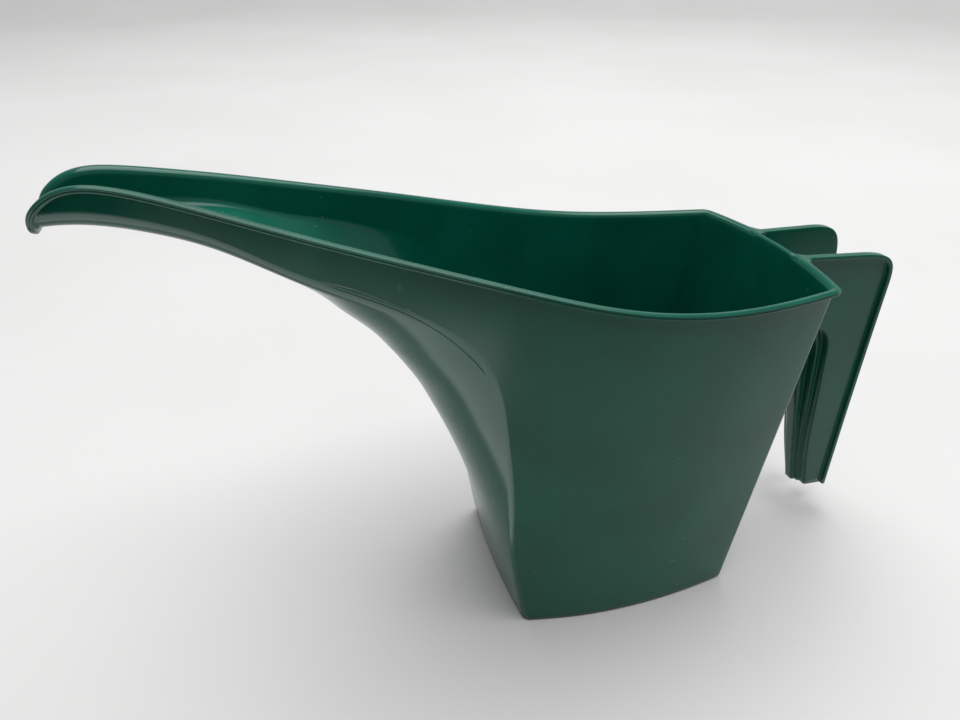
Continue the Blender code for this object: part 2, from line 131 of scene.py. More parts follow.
ROWS = 190            # sections from the lip to the base
LIP_ROWS, LIP_STEP = 28, 1.0            # of these, close ones round the lip, by distance along the rim
ROW_GAP = 0.3                           # least distance between the ends of neighbouring sections
COLUMNS = (14, 12, 26)                  # front face, corner rounding, side wall
REAR_COLUMNS = (8, 22)                  # rear corner rounding, rear wall
STATIONS = 130         # sections along the handle
ROOT_STATIONS = (-1.0, -0.3, 0.0, 0.15, 0.4, 0.8, 1.3, 1.9)     # and close ones at the wall, by distance
ROUND_STEPS = 6                         # rings in the rounding of the bottom
FILLET_POINTS = 60                      # points of a section's corner before it is cut into columns


# ---------------------------------------------------------------- curves
def spline(xs, ys):
    """Natural cubic through the given points; returns a function that may be used 60 past either end."""
    xs, ys = np.array(xs, float), np.array(ys, float)
    n = len(xs)
    h = np.diff(xs)
    m = np.zeros((n, n))
    rhs = np.zeros(n)
    m[0, 0] = m[-1, -1] = 1
    for i in range(1, n - 1):
        m[i, i - 1], m[i, i], m[i, i + 1] = h[i - 1], 2 * (h[i - 1] + h[i]), h[i]
        rhs[i] = 6 * ((ys[i + 1] - ys[i]) / h[i] - (ys[i] - ys[i - 1]) / h[i - 1])
    curv = np.linalg.solve(m, rhs)

    def value(x):
        x = np.clip(np.asarray(x, float), xs[0] - 60, xs[-1] + 60)
        i = np.clip(np.searchsorted(xs, x) - 1, 0, n - 2)
        a, b = xs[i + 1] - x, x - xs[i]
        low, high = ys[i] / h[i] - curv[i] * h[i] / 6, ys[i + 1] / h[i] - curv[i + 1] * h[i] / 6
        return (curv[i] * a ** 3 + curv[i + 1] * b ** 3) / (6 * h[i]) + low * a + high * b

    return value


def chord(points):
    """Distance along a polyline at each of its points."""
    p = np.array(points, float)
    return np.concatenate([[0], np.cumsum(np.linalg.norm(np.diff(p, axis=0), axis=1))])


def unit(v):
    """Vectors brought to length one."""
    return v / np.maximum(np.linalg.norm(v, axis=-1, keepdims=True), 1e-9)


def corner_arc(p1, t1, p2, t2, count):
    """Rounded corner from p1, leaving along t1, to p2, arriving along t2, as a rational quadratic."""
    turn = math.acos(float(np.clip(t1 @ t2, -1, 1)))
    k = np.linalg.solve(np.stack([t1, t2], 1), p2 - p1)
    mid = p1 + t1 * k[0]
    w = math.cos(turn / 2)
    t = np.linspace(0, 1, count)[:, None]
    den = (1 - t) ** 2 + 2 * w * t * (1 - t) + t ** 2
    return ((1 - t) ** 2 * p1 + 2 * w * t * (1 - t) * mid + t ** 2 * p2) / den


plan_width = spline(*zip(*PLAN))
rim_s = chord(RIM)
rim_x, rim_z = spline(rim_s, [p[0] for p in RIM]), spline(rim_s, [p[1] for p in RIM])
RIM_FINE = np.linspace(0, rim_s[-1], 1600)
RIM_LINE = (-rim_x(RIM_FINE), rim_z(RIM_FINE))


def rear_x(z):
    """Rear corners' line, leaning forward going down."""
    return REAR_LEAN * z


def wall_half(x, z):
    """Half width of the outer wall at a point of the side view."""
    top = np.interp(-np.asarray(x, float), *RIM_LINE)
    return plan_width(x) - DRAFT * (top - z)


def bow(y, corner_y):
    """Bulge of the rear wall beyond its corners."""
    return REAR_BOW * (1 - (y / corner_y) ** 2)


def edge_path(drop, corner):
    """Rim line lowered by `drop`, and carried on down the rear corner: one line from the lip to the base."""
    x, z = rim_x(RIM_FINE), rim_z(RIM_FINE)
    dx, dz = np.gradient(x), np.gradient(z)
    size = np.hypot(dx, dz)
    x, z = x - drop * dz / size, z + drop * dx / size
    keep = x <= -corner
    rim = np.stack([x[keep], z[keep]], 1)[::-1]
    rim = np.vstack([rim, [-corner, rim[-1, 1]]])
    down = np.linspace(rim[-1, 1], -HEIGHT, 300)[1:]
    rear = np.stack([rear_x(down) - corner, down], 1)
    return rim, np.vstack([rim, rear])


def edge_station(rim, path, s, mark):
    """Distance along the edge path at which a marked point of the rim or rear corner lies."""
    kind, value = mark
    if kind == "rim":
        return float(np.interp(value, rim[:, 0], s[:len(rim)]))
    return float(np.interp(value, -path[len(rim) - 1:, 1], s[len(rim) - 1:]))


# ---------------------------------------------------------------- body sections
def section_line(side, r0, sag, radius, length):
    """Crowned face, rounded corner and wall as (distance, y) points, and the points where the first two end.

    `side` gives the half width at a distance from the corner, and `r0` is where the crown's edge lies.
    """
    ye = float(side(r0)[0])
    big = (ye * ye + sag * sag) / (2 * sag)
    phi = np.linspace(0, math.asin(min(ye / big, 1.0)), 120)
    arc = np.stack([r0 - sag + big * (1 - np.cos(phi)), big * np.sin(phi)], 1)
    slope = (float(side(r0 + 5)[0]) - ye) / 5
    t_in = np.array([math.sin(phi[-1]), math.cos(phi[-1])])
    t_out = unit(np.array([1.0, slope]))
    turn = math.acos(float(np.clip(t_in @ t_out, -1, 1)))
    setback = min(radius * math.tan(turn / 2), 0.92 * ye)
    s_arc = chord(arc)
    cut = s_arc[-1] - setback
    p1 = np.array([np.interp(cut, s_arc, arc[:, 0]), np.interp(cut, s_arc, arc[:, 1])])
    ang = np.interp(cut, s_arc, phi)
    p2 = np.array([r0 + setback, float(side(r0 + setback)[0])])
    fillet = corner_arc(p1, np.array([math.sin(ang), math.cos(ang)]), p2, t_out, FILLET_POINTS)
    rs = np.linspace(r0 + setback, max(length, r0 + setback + 2), 160)
    wall = np.stack([rs, side(rs)], 1)
    keep = s_arc < cut
    return np.vstack([arc[keep], fillet, wall[1:]]), keep.sum(), keep.sum() + FILLET_POINTS - 1


def section(e, a, sag, radius, inset, lift):
    """Half of one cross-section, from the middle of the bottom out to the rim or rear corner.

    `e` is the corner in side view, `a` the end at the rim or rear corner, `inset` the offset into the wall
    and `lift` the extra height of an inside corner.
    Returns points (x, y, z).
    """
    e, a = np.array(e, float), np.array(a, float)
    length = np.linalg.norm(a - e)
    d = (a - e) / max(length, 1e-6)
    if length < 6:
        d = np.array([0.0, 1.0])
    radius = max(radius - inset - 0.6 * lift, 1.5)

    def side(r):
        p = e[:, None] + d[:, None] * np.atleast_1d(r)[None, :]
        return wall_half(p[0], p[1]) - inset

    line, face_end, corner_end = section_line(side, inset + lift, max(sag, 0.3), radius, length)
    s = chord(line)
    end = float(np.interp(length, line[:, 0], s)) if length > line[0, 0] else 0.4
    b1 = min(s[face_end], 0.42 * end)
    b2 = min(s[corner_end], 0.80 * end)
    n1, n2, n3 = COLUMNS
    stops = np.concatenate([np.linspace(0, b1, n1 + 1), np.linspace(b1, b2, n2 + 1)[1:],
                            b2 + (end - b2) * np.linspace(0, 1, n3 + 1)[1:] ** 1.15])
    r = np.interp(stops, s, line[:, 0])
    y = np.interp(stops, s, line[:, 1])
    return np.stack([e[0] + d[0] * r, y, e[1] + d[1] * r], 1)


def rear_row(z, inset, start):
    """Rear wall at one height, from just after the side wall's end round the corner to the middle."""
    x0 = float(rear_x(z))
    corner_y = float(wall_half(x0, z))

    def side(x):
        return float(wall_half(x, z)) - inset

    def back(y):
        return x0 - inset + bow(y, corner_y)

    reach = x0 - inset - start
    p1 = np.array([start, side(start)])
    t1 = unit(np.array([1.0, side(start + 1) - side(start)]))
    y2 = side(x0 - inset) - reach
    p2 = np.array([back(y2), y2])
    t2 = unit(np.array([back(y2 - 1) - back(y2), -1.0]))
    pts = corner_arc(p1, t1, p2, t2, REAR_COLUMNS[0] + 1)[1:]
    ys = np.linspace(y2, 0, REAR_COLUMNS[1] + 1)[1:]
    flat = np.array([(back(y), y) for y in ys])
    pts = np.vstack([pts, flat])
    return np.stack([pts[:, 0], pts[:, 1], np.full(len(pts), z)], 1)


def row_places(ks, ex, ez, rim, s, bottom):
    """Positions of the rows on the lower corner line: close round the lip, then even down to the base."""
    fine = np.linspace(ks[-2], ks[-1], 200)
    last = float(np.interp(-bottom, -ez(fine), fine))
    lip_x = np.interp(np.arange(LIP_ROWS) * LIP_STEP, s[:len(rim)], rim[:, 0])
    fine = np.linspace(0, ks[4], 800)
    lip = np.interp(lip_x, ex(fine), fine)
    return np.concatenate([lip, np.linspace(lip[-1], last, ROWS - LIP_ROWS + 1)[1:]])


def edge_marks(marks, turn, turn_row):
    """Keeps the rows' ends along the edge in order, and puts the end of one row exactly at the turn.

    Without a given `turn_row`, the row that ends nearest the turn is taken.
    """
    marks = np.maximum.accumulate(marks)
    if turn_row is None:
        turn_row = int(np.argmin(abs(marks - turn)))
    marks[turn_row] = turn
    marks[:turn_row] = np.minimum(marks[:turn_row], turn - ROW_GAP * np.arange(turn_row, 0, -1))
    marks[turn_row + 1:] = np.maximum(marks[turn_row + 1:], turn + ROW_GAP * np.arange(1, ROWS - turn_row))
    return marks, turn_row


def body_half(inset, drop, corner, bottom, turn_row=None):
    """Half of the body's outer or inner surface, and the number of the row at which the edge turns down.

    Rows run from the lip to the base.  Rows before `turn_row` end at the rim; the others go on round the
    rear wall.
    """
    rim, path = edge_path(drop, corner)
    s = chord(path)
    corner_line = [k[0] for k in KEEL]
    ks = chord(corner_line)
    ex, ez = spline(ks, [c[0] for c in corner_line]), spline(ks, [c[1] for c in corner_line])
    sag, rad, lift = (spline(ks, [k[n] for k in KEEL]) for n in (1, 2, 3))
    ends = spline(ks, [edge_station(rim, path, s, k[4]) for k in KEEL])
    stations = row_places(ks, ex, ez, rim, s, bottom)
    marks = np.array([float(ends(q)) for q in stations])
    marks, turn_row = edge_marks(marks, float(s[len(rim) - 1]), turn_row)
    rows = []
    for i, (q, at) in enumerate(zip(stations, marks)):
        a = (np.interp(at, s, path[:, 0]), np.interp(at, s, path[:, 1]))
        e = (float(ex(q)), float(ez(q)))
        if i < LIP_ROWS:
            a = (e[0], float(np.interp(e[0], rim[:, 0], rim[:, 1])))
        up = float(lift(q)) if inset else 0.0
        row = section(e, a, float(sag(q)) + 0.7 * up, float(rad(q)), inset, up)
        if i >= turn_row:
            row = np.vstack([row, rear_row(a[1], inset, a[0])])
        rows.append(row)
    return rows, turn_row


def rim_line(rows, turn_row):
    """The edge of a half surface: across the lip, along the side and round the rear wall to the middle."""
    cols = sum(COLUMNS)
    side = [rows[i][cols] for i in range(1, turn_row)]
    return np.vstack([rows[0][:cols + 1], side, rows[turn_row][cols:]])


top_out, TURN_ROW = body_half(0.0, 0.0, CORNER_OUT, TOP_ROWS_END)
top_in, _ = body_half(WALL, 0.0, CORNER_IN, TOP_ROWS_END, TURN_ROW)


# ---------------------------------------------------------------- rim flange
def spread(values, passes):
    """Evens out a field along the half rim, which continues as its mirror image past both ends."""
    v = values.copy()
    for _ in range(passes):
        ends = v[[0, -1]] * [1, 0, 1]
        v[1:-1] = (v[:-2] + 2 * v[1:-1] + v[2:]) / 4
        v[[0, -1]] = ends
    return v


def flange_frame():
    """Points of the wall's top edge, with the directions down the wall and outward."""
    line, hide = rim_line(top_out, TURN_ROW), rim_line(top_in, TURN_ROW)
    cols = sum(COLUMNS)
    side = np.arange(len(line)) < cols + TURN_ROW
    x, z = rim_x(RIM_FINE), rim_z(RIM_FINE)
    normal = unit(np.stack([-np.gradient(z), np.gradient(x)], 1))
    nx, nz = (np.interp(-line[side, 0], -x, normal[:, k]) for k in (0, 1))
    nx[:cols], nz[:cols] = normal[-1]
    px, pz = line[side, 0], line[side, 2]
    down = np.zeros_like(line)
    down[side] = np.stack([nx, wall_half(px + nx, pz + nz) - wall_half(px, pz), nz], 1)
    down[~side] = top_out[TURN_ROW + 3][cols:] - line[~side]
    full = np.vstack([line[:0:-1] * MIRROR, line, line[-2::-1] * MIRROR])
    along = unit(np.gradient(full, axis=0))[len(line) - 1:2 * len(line) - 1]
    down = unit(spread(unit(down), 8))
    down = unit(down - (down * along).sum(1, keepdims=True) * along)
    out = np.cross(along, down)
    out *= np.sign((out * (line - hide)).sum(1, keepdims=True))
    return line, down, out


def flange_reach(x, y):
    """Overhang of the flange; the rear rim has none between the handle plates, and fillets into both."""
    y = abs(y)
    inner, outer = EAR_ROOT - 0.2, EAR_ROOT + WALL + HANDLE_FLANGE - 0.3
    if x < -1:
        return RIM_OUT - LIP_SHRINK * float(np.interp(-x, [LIP_FROM, LIP_TO], [0, 1]))
    if y >= outer:
        t = max(0.0, 1 - (y - outer) / EAR_FILLET)
        return RIM_OUT + EAR_FILLET * (1 - math.sqrt(max(0.0, 1 - t * t))) * 0.8
    if y >= inner:
        return RIM_OUT + EAR_FILLET * 0.8
    t = max(0.0, 1 - (inner - y) / EAR_FILLET_IN)
    return 0.12 + EAR_FILLET_IN * (1 - math.sqrt(max(0.0, 1 - t * t)))


def flange_profile(reach):
    """Section of the flange as (outward, down) from the wall's top outside edge, outer wall to inner wall.

    From below: root at the wall, foot, a groove in the edge, the bead above it, a shallow dip and the top.
    """
    t = RIM_THICK
    full = 1.0 if reach > 1 else 0.1
    root = min(0.6, 0.6 * reach)
    foot = min(0.42, 0.4 * reach + 0.05)
    groove, bead, sunk = 0.30 * full, 0.36, 0.16 * full
    inner = min(RIM_TOP_IN, 0.62 * (WALL + reach))
    quarter = [math.radians(a) for a in (0, 22.5, 45, 67.5, 90)]
    pts = [(root * (1 - math.cos(a)), t + root * (1 - math.sin(a))) for a in quarter]
    pts += [(reach - foot + foot * math.sin(a), t - foot + foot * math.cos(a)) for a in quarter]
    foot_z, low, high, top_z = GROOVE_LEVELS
    pts += [(reach, foot_z), (reach - groove, low), (reach - groove, high), (reach - 0.2 * groove, top_z)]
    lip = reach - 0.2 * groove - bead
    pts += [(lip + bead * math.cos(a), sunk + bead - bead * math.sin(a)) for a in quarter]
    flat, rise = lip - 0.55 * full, inner - WALL
    pts += [(lip - 0.12 * full, 2.4 * sunk), (lip - 0.42 * full, 2.2 * sunk)]
    pts += [(flat, 0.0), ((flat + rise) / 2, 0.0)]
    pts += [(rise - inner * math.sin(a), inner * (1 - math.cos(a))) for a in quarter]
    return pts


# ---------------------------------------------------------------- meshes
def place(points):
    """Outline millimetres to metres in the frame."""
    p = np.array(points, float).reshape(-1, 3)
    return (p + [X_SHIFT, 0, HEIGHT]) * MM


class Skin:
    """Collects shared vertices and faces of one closed surface."""

    def __init__(self):
        self.verts, self.faces = [], []

    def put(self, point):
        """Adds a vertex and returns its number."""
        self.verts.append(np.array(point, float))
        return len(self.verts) - 1

    def rows(self, grids):
        """Quads between neighbouring rows of vertex numbers, over the columns both rows have."""
        for a, b in zip(grids[:-1], grids[1:]):
            n = min(len(a), len(b))
            for j in range(n - 1):
                self.quad(a[j], a[j + 1], b[j + 1], b[j])

    def ring(self, a, b):
        """Quads between two closed rings of vertex numbers."""
        for i in range(len(a)):
            j = (i + 1) % len(a)
            self.quad(a[i], a[j], b[j], b[i])

    def quad(self, *corners):
        """A face that leaves out repeated corners."""
        face = []
        for c in corners:
            if c not in face:
                face.append(c)
        if len(face) > 2:
            self.faces.append(face)

    def build(self, name, material):
        mesh = bpy.data.meshes.new(name)
        mesh.from_pydata([tuple(v) for v in place(self.verts)], [], self.faces)
        mesh.validate()
        mesh.materials.append(material)
        obj = bpy.data.objects.new(name, mesh)
        bpy.context.scene.collection.objects.link(obj)
        outward(mesh)
        return obj


def outward(mesh):
    """Makes all faces look out and shades them smooth."""
    bm = bmesh.new()
    bm.from_mesh(mesh)
    bmesh.ops.recalc_face_normals(bm, faces=bm.faces)
    if bm.calc_volume(signed=True) < 0:
        bmesh.ops.reverse_faces(bm, faces=bm.faces)
    bm.to_mesh(mesh)
    bm.free()
    for p in mesh.polygons:
        p.use_smooth = True


def half_surface(skin, rows, side, middle_end):
    """Puts one side of a half surface in; the middle column is shared through `middle_end`."""
    numbers = []
    for i, row in enumerate(rows):
        line = []
        for j, p in enumerate(row):
            on_plane = abs(p[1]) < 1e-6
            key = (i, j)
            if on_plane and key in middle_end:
                line.append(middle_end[key])
                continue
            q = np.array([p[0], 0.0 if on_plane else side * p[1], p[2]])
            line.append(skin.put(q))
            if on_plane:
                middle_end[key] = line[-1]
        numbers.append(line)
    return numbers


def edge_numbers(numbers, turn_row):
    """Vertex numbers of a half surface's edge, in the order of rim_line()."""
    cols = sum(COLUMNS)
    side = [numbers[i][cols] for i in range(1, turn_row)]
    return numbers[0][:cols + 1] + side + numbers[turn_row][cols:]


def join_surface(skin, numbers, turn_row):
    """Faces of a half surface: the short rows, then the long ones that include the rear wall."""
    cols = sum(COLUMNS) + 1
    skin.rows([n[:cols] for n in numbers[:turn_row + 1]])
    skin.rows(numbers[turn_row:])


def set_edge(rows, turn_row, points):
    """Moves the edge of a half surface onto the given points."""
    cols = sum(COLUMNS)
    spots = [(0, j) for j in range(cols + 1)] + [(i, cols) for i in range(1, turn_row)]
    spots += [(turn_row, j) for j in range(cols, len(rows[turn_row]))]
    for (i, j), p in zip(spots, points):
        rows[i][j] = p


def swept_flange():
    """Rows of points across the flange, one for each point of the rim line."""
    rows = []
    for p, d, o in zip(*flange_frame()):
        prof = np.array(flange_profile(flange_reach(p[0], p[1])))
        rows.append(p + o * prof[:, :1] + d * prof[:, 1:])
    swept = np.array(rows)
    swept[[0, -1], :, 1] = 0.0
    return swept


def rim_strip(skin, swept, side, edge_out, edge_in, middle):
    """One side's flange faces between the outer and inner edge; `middle` shares the points on the plane."""
    strip = []
    for i, (a, b) in enumerate(zip(edge_out, edge_in)):
        across = [a]
        for j in range(1, swept.shape[1] - 1):
            p = swept[i, j] * [1, side, 1]
            if i not in (0, len(swept) - 1):
                across.append(skin.put(p))
                continue
            if (i, j) not in middle:
                middle[(i, j)] = skin.put(p)
            across.append(middle[(i, j)])
        strip.append(across + [b])
    skin.rows(strip)


def build_body(material):
    """Outer and inner surface, joined by the rim flange above and closed by the bottom."""
    outer, _ = body_half(0.0, RIM_THICK + ROOT_DROP_OUT, CORNER_OUT, WALL_END_OUT, TURN_ROW)
    inner, _ = body_half(WALL, RIM_TOP_IN + ROOT_DROP_IN, CORNER_IN, WALL_END_IN, TURN_ROW)
    swept = swept_flange()
    set_edge(outer, TURN_ROW, swept[:, 0])
    set_edge(inner, TURN_ROW, swept[:, -1])

    skin = Skin()
    middle_out, middle_in, middle_rim = {}, {}, {}
    last_rings, outside = {}, []
    for side in (1, -1):
        n_out = half_surface(skin, outer, side, middle_out)
        n_in = half_surface(skin, inner, side, middle_in)
        outside += [k for numbers in n_out for k in numbers]
        join_surface(skin, n_out, TURN_ROW)
        join_surface(skin, n_in, TURN_ROW)
        rim_strip(skin, swept, side, edge_numbers(n_out, TURN_ROW), edge_numbers(n_in, TURN_ROW), middle_rim)
        last_rings[side] = (n_out[-1], n_in[-1])

    for which, radius in ((0, BASE_ROUND_OUT), (1, BASE_ROUND_IN)):
        ring = last_rings[1][which] + last_rings[-1][which][-2:0:-1]
        close_bottom(skin, ring, radius)
    obj = skin.build("jug_body", material)
    marks = seam_marks(np.array(skin.verts), outside)
    seam = obj.data.attributes.new("seam", "FLOAT_VECTOR", "POINT")
    seam.data.foreach_set("vector", marks.ravel())
    return obj


def seam_marks(verts, outside):
    """For each vertex: distance below the upper mould line, distance above the lower one, and strength.

    Distances are in millimetres in the side view; the strength is zero off the outer surface.
    """
    x, z = verts[:, 0], verts[:, 2]
    marks = np.zeros((len(verts), 3), np.float32)
    for k, (line, sign) in enumerate(((SEAM_UPPER, 1), (SEAM_LOWER, -1))):
        xs, zs = np.array(line).T
        slope = np.interp(x, xs, np.gradient(zs, xs))
        marks[:, k] = np.clip(sign * (np.interp(x, xs, zs) - z) / np.hypot(1, slope), -5, 5)
    marks[outside, 2] = np.interp(x[outside], *zip(*SEAM_FADE))
    return marks


def close_bottom(skin, ring, radius):
    """Rounds the wall over into the flat bottom with shrinking rings."""
    start = np.array([skin.verts[i] for i in ring])
    centre = start.mean(axis=0)
    away = start - centre
    away[:, 2] = 0
    away = unit(away)
    levels = []
    for k in range(1, ROUND_STEPS + 1):
        a = math.radians(90 * k / ROUND_STEPS)
        points = start - away * radius * (1 - math.cos(a))
        points[:, 2] = start[:, 2] - radius * math.sin(a)
        levels.append(points)
    for shrink in (0.75, 0.4):
        points = centre + (points - centre) * [shrink, shrink, 1]
        points[:, 2] = start[:, 2].mean() - radius
        levels.append(points)
    previous = ring
    for points in levels:
        current = [skin.put(p) for p in points]
        skin.ring(previous, current)
        previous = current
    skin.faces.append(list(previous))


# ---------------------------------------------------------------- handle
def plate_y(x, z):
    """Inner face of a side plate."""
    return HANDLE_HALF + HANDLE_SPLAY * (x - HANDLE_X) + HANDLE_TAPER * z


EAR_ROOT = plate_y(6, 0)        # where the plates meet the rear wall at the rim


def follow(points, at):
    """Smooth line through the points, at positions counted in points; it is straight before the first."""
    p = np.array(points, float)
    s = chord(p)
    k = np.interp(at, range(len(p)), s) + np.minimum(at, 0) * (s[1] - s[0])
    x, z = spline(s, p[:, 0]), spline(s, p[:, 1])
    line = np.stack([x(k), z(k)], 1)
    first = p[0] + (p[1] - p[0]) / s[1] * k[:, None]
    return np.where((at < 0)[:, None], first, line)


def offset(path, by):
    """A side-view line moved sideways by `by`."""
    t = unit(np.gradient(path, axis=0))
    return path + np.stack([-t[:, 1], t[:, 0]], 1) * by


def rounded(corners, samples):
    """Points along a polyline of (distance, y, radius) with its corners rounded.

    `samples` counts the points on each straight part.
    """
    pts = [np.array(corners[0][:2], float)]
    for k in range(1, len(corners)):
        b, r = np.array(corners[k][:2], float), corners[k][2]
        a = np.array(corners[k - 1][:2], float)
        back = unit(a - b)
        if k < len(corners) - 1:
            c = np.array(corners[k + 1][:2], float)
            ahead = unit(c - b)
            r = min(r, 0.46 * np.linalg.norm(a - b), 0.46 * np.linalg.norm(c - b))
            start, stop = b + back * r, b + ahead * r
        else:
            start = stop = b
        prev = pts[-1]
        for t in np.linspace(0, 1, samples[k - 1] + 1)[1:]:
            pts.append(prev + (start - prev) * t)
        if k < len(corners) - 1:
            for t in np.linspace(0, 1, 7)[1:]:
                pts.append((1 - t) ** 2 * start + 2 * t * (1 - t) * b + t * t * stop)
    return np.array(pts)


def along_side(side_line, profile):
    """Places (distance, y) points on a side-view polyline."""
    s = chord(side_line)
    x, z = (np.interp(profile[:, 0], s, c) for c in np.array(side_line).T)
    return np.stack([x, profile[:, 1], z], 1)


def root_flare(gone):
    """Widening of the handle at a distance from the wall, as a round fillet."""
    if gone >= ROOT_ROUND:
        return 0.0
    return ROOT_ROUND * (1 - math.sqrt(1 - (1 - gone / ROOT_ROUND) ** 2))


def channel_line(line, outline, samples, flare):
    """One half line of the channel section; its web sinks and its plates spread by `flare`."""
    s = chord(line)
    prof = rounded(outline, samples)
    web = prof[:, 0] <= s[2] + 1.0
    prof[:, 1] += flare * ~web * (prof[:, 0] < s[3] - 0.8)
    points = along_side(line, prof)
    points[:, 2] -= flare * web
    return points


def outer_line(line, half, soft, flare):
    """Outside of the section: nose, step, side plate and edge flange.

    `half` holds the half widths over the plates, at the step and at the nose.
    """
    s = chord(line)
    cap, back = line[3:]
    tip_y, end_y = (plate_y(*p) + WALL + HANDLE_FLANGE for p in (cap, back))
    face, step_half, nose_half = half
    outline = [(0, 0, 0), (0, nose_half, 1.7 * soft), (s[1], nose_half + 0.1, 0.6 * soft),
               (s[1], step_half, 0.7 * soft), (s[2], step_half + 0.1, 0.6 * soft),
               (s[2], face, 0.7 * soft), (s[3], plate_y(*cap) + WALL, 0.7), (s[3], tip_y, 0.5),
               (s[4], end_y, 0.5), (s[4], end_y - 1.2, 0)]
    return channel_line(line, outline, (3, 2, 3, 2, 3, 14, 3, 2, 1, 1), flare)


def inner_line(line, half, soft, flare):
    """Inside of the section, which ends where the outer line ends, on the edge flange."""
    s = chord(line)
    front, back = line[2:]
    face, step_half, nose_half = half
    thin = nose_half - 0.8 * WALL
    outline = [(0, 0, 0), (0, thin, 0.8), (s[1], thin + 0.1, 0.6 * soft),
               (s[1], step_half - WALL, 0.6 * soft), (s[2], step_half - WALL + 0.1, 0.6 * soft),
               (s[2], plate_y(*front), 0.6 * soft), (s[3], plate_y(*back), 0.5),
               (s[3], plate_y(*back) + WALL + HANDLE_FLANGE - 1.2, 0)]
    return channel_line(line, outline, (3, 2, 3, 2, 3, 16, 2), -flare)


def handle_sections():
    """Outer and inner half lines of the handle's channel section, from the wall to the cut end."""
    steps = len(PLATE_FRONT) - 1
    reach = chord(PLATE_FRONT)[-1]
    near = np.array(ROOT_STATIONS) / reach
    f = np.concatenate([near, np.linspace(2.6 / reach, 1, STATIONS)])
    front, step, nose = (follow(p, f * steps) for p in (PLATE_FRONT, STEP_FRONT, NOSE_FRONT))
    back = follow(PLATE_BACK, f * (len(PLATE_BACK) - 1))
    front_in, step_in, nose_in = (offset(p, WALL) for p in (front, step, nose))
    cap = offset(back, -RIM_THICK)
    front_in[-1, 1] = step_in[-1, 1] = nose_in[-1, 1] = cap[-1, 1] = HANDLE_CUT
    outer, inner = [], []
    for k in range(len(f)):
        flare = root_flare(max(f[k] * reach, 0.0))
        soft = float(np.interp(f[k], *zip(*SOFTENING)))
        face = plate_y(*front[k]) + WALL
        half = (face, face - STEP_IN, NOSE_SHARE * face - 1.2)
        outer.append(outer_line([nose[k], step[k], front[k], cap[k], back[k]], half, soft, flare))
        inner.append(inner_line([nose_in[k], step_in[k], front_in[k], back[k]], half, soft, flare))
    return outer, inner


def build_handle(material):
    """Closed rings round the channel section, capped at the wall and at the cut end."""
    outer, inner = handle_sections()
    skin = Skin()
    rings = []
    for a, b in zip(outer, inner):
        a[0][1] = b[0][1] = 0
        ring = [skin.put(p) for p in a] + [skin.put(p) for p in b[-2::-1]]
        ring += [skin.put(p * MIRROR) for p in b[1:-1]]
        ring += [skin.put(p * MIRROR) for p in a[:0:-1]]
        rings.append(ring)
    for a, b in zip(rings[:-1], rings[1:]):
        skin.ring(a, b)
    skin.faces.append(list(rings[0]))
    skin.faces.append(list(rings[-1]))
    return skin.build("jug_handle", material)


# ---------------------------------------------------------------- material
PALE_DUST = (0.36, 0.42, 0.38, 1)
SCUFFED = (0.22, 0.32, 0.27, 1)
# Brown of the dirt along the foot, also used as painted contact shade there.
BROWN_SOIL_AND_SHADE = (0.060, 0.036, 0.018, 1)


class Nodes:
    """Short way to build a material's node tree."""

    def __init__(self, name):
        self.material = bpy.data.materials.new(name)
        self.material.use_nodes = True
        self.tree = self.material.node_tree
        self.bsdf = self.tree.nodes["Principled BSDF"]

    def add(self, kind, **settings):
        node = self.tree.nodes.new(kind)
        inputs = settings.pop("inputs", {})
        for key, value in settings.items():
            setattr(node, key, value)
        for key, value in inputs.items():
            self.feed(node, key, value)
        return node

    def feed(self, node, key, value):
        socket = node.inputs[key]
        if isinstance(value, bpy.types.NodeSocket):
            self.tree.links.new(value, socket)
        else:
            socket.default_value = value

    def math(self, operation, a, b):
        node = self.add("ShaderNodeMath", operation=operation)
        for i, value in enumerate((a, b)):
            self.feed(node, i, value)
        return node.outputs[0]

    def ramp(self, value, low, high, out_low=0.0, out_high=1.0):
        """Smooth step from one value to another."""
        node = self.add("ShaderNodeMapRange", interpolation_type="SMOOTHSTEP")
        for key, v in (("Value", value), ("From Min", low), ("From Max", high), ("To Min", out_low),
                       ("To Max", out_high)):
            self.feed(node, key, v)
        return node.outputs["Result"]

    def noise(self, where, scale, detail=2.0, rough=0.5):
        return self.add("ShaderNodeTexNoise", inputs={"Vector": where, "Scale": scale, "Detail": detail,
                                                      "Roughness": rough}).outputs["Fac"]

    def mix(self, amount, a, b):
        node = self.add("ShaderNodeMix", data_type="RGBA")
        for i, value in ((0, amount), (6, a), (7, b)):
            self.feed(node, i, value)
        return node.outputs[2]


def dust_specks(n, at):
    """Small pale dots in loose patches."""
    cells = n.add("ShaderNodeTexVoronoi", inputs={"Vector": at, "Scale": 210.0, "Randomness": 1.0})
    patches = n.ramp(n.noise(at, 95.0, 1.0), 0.56, 0.60)
    return n.math("MULTIPLY", n.ramp(cells.outputs["Distance"], 0.035, 0.075, 1.0, 0.0), patches)


def hairline_scuffs(n, at):
    """Thin slanting marks in loose patches."""
    stretch = n.add("ShaderNodeMapping", inputs={"Vector": at, "Rotation": (0.5, 0.3, 0.9),
                                                 "Scale": (30.0, 900.0, 160.0)}).outputs["Vector"]
    lines = n.ramp(n.noise(stretch, 1.0, 2.0), 0.70, 0.78)
    return n.math("MULTIPLY", lines, n.ramp(n.noise(at, 18.0, 1.0), 0.52, 0.66))


def foot_soil_and_shade(n, at):
    """Uneven brown dirt on the lowest edge of the foot, partly painted contact shade where the can stands on
    the floor.
    """
    height = n.add("ShaderNodeSeparateXYZ", inputs={"Vector": at}).outputs["Z"]
    return n.math("MULTIPLY", n.ramp(height, 0.0004, 0.0017, 1.0, 0.0),
                  n.ramp(n.noise(at, 60.0, 2.0), 0.2, 0.6, 0.5, 1))


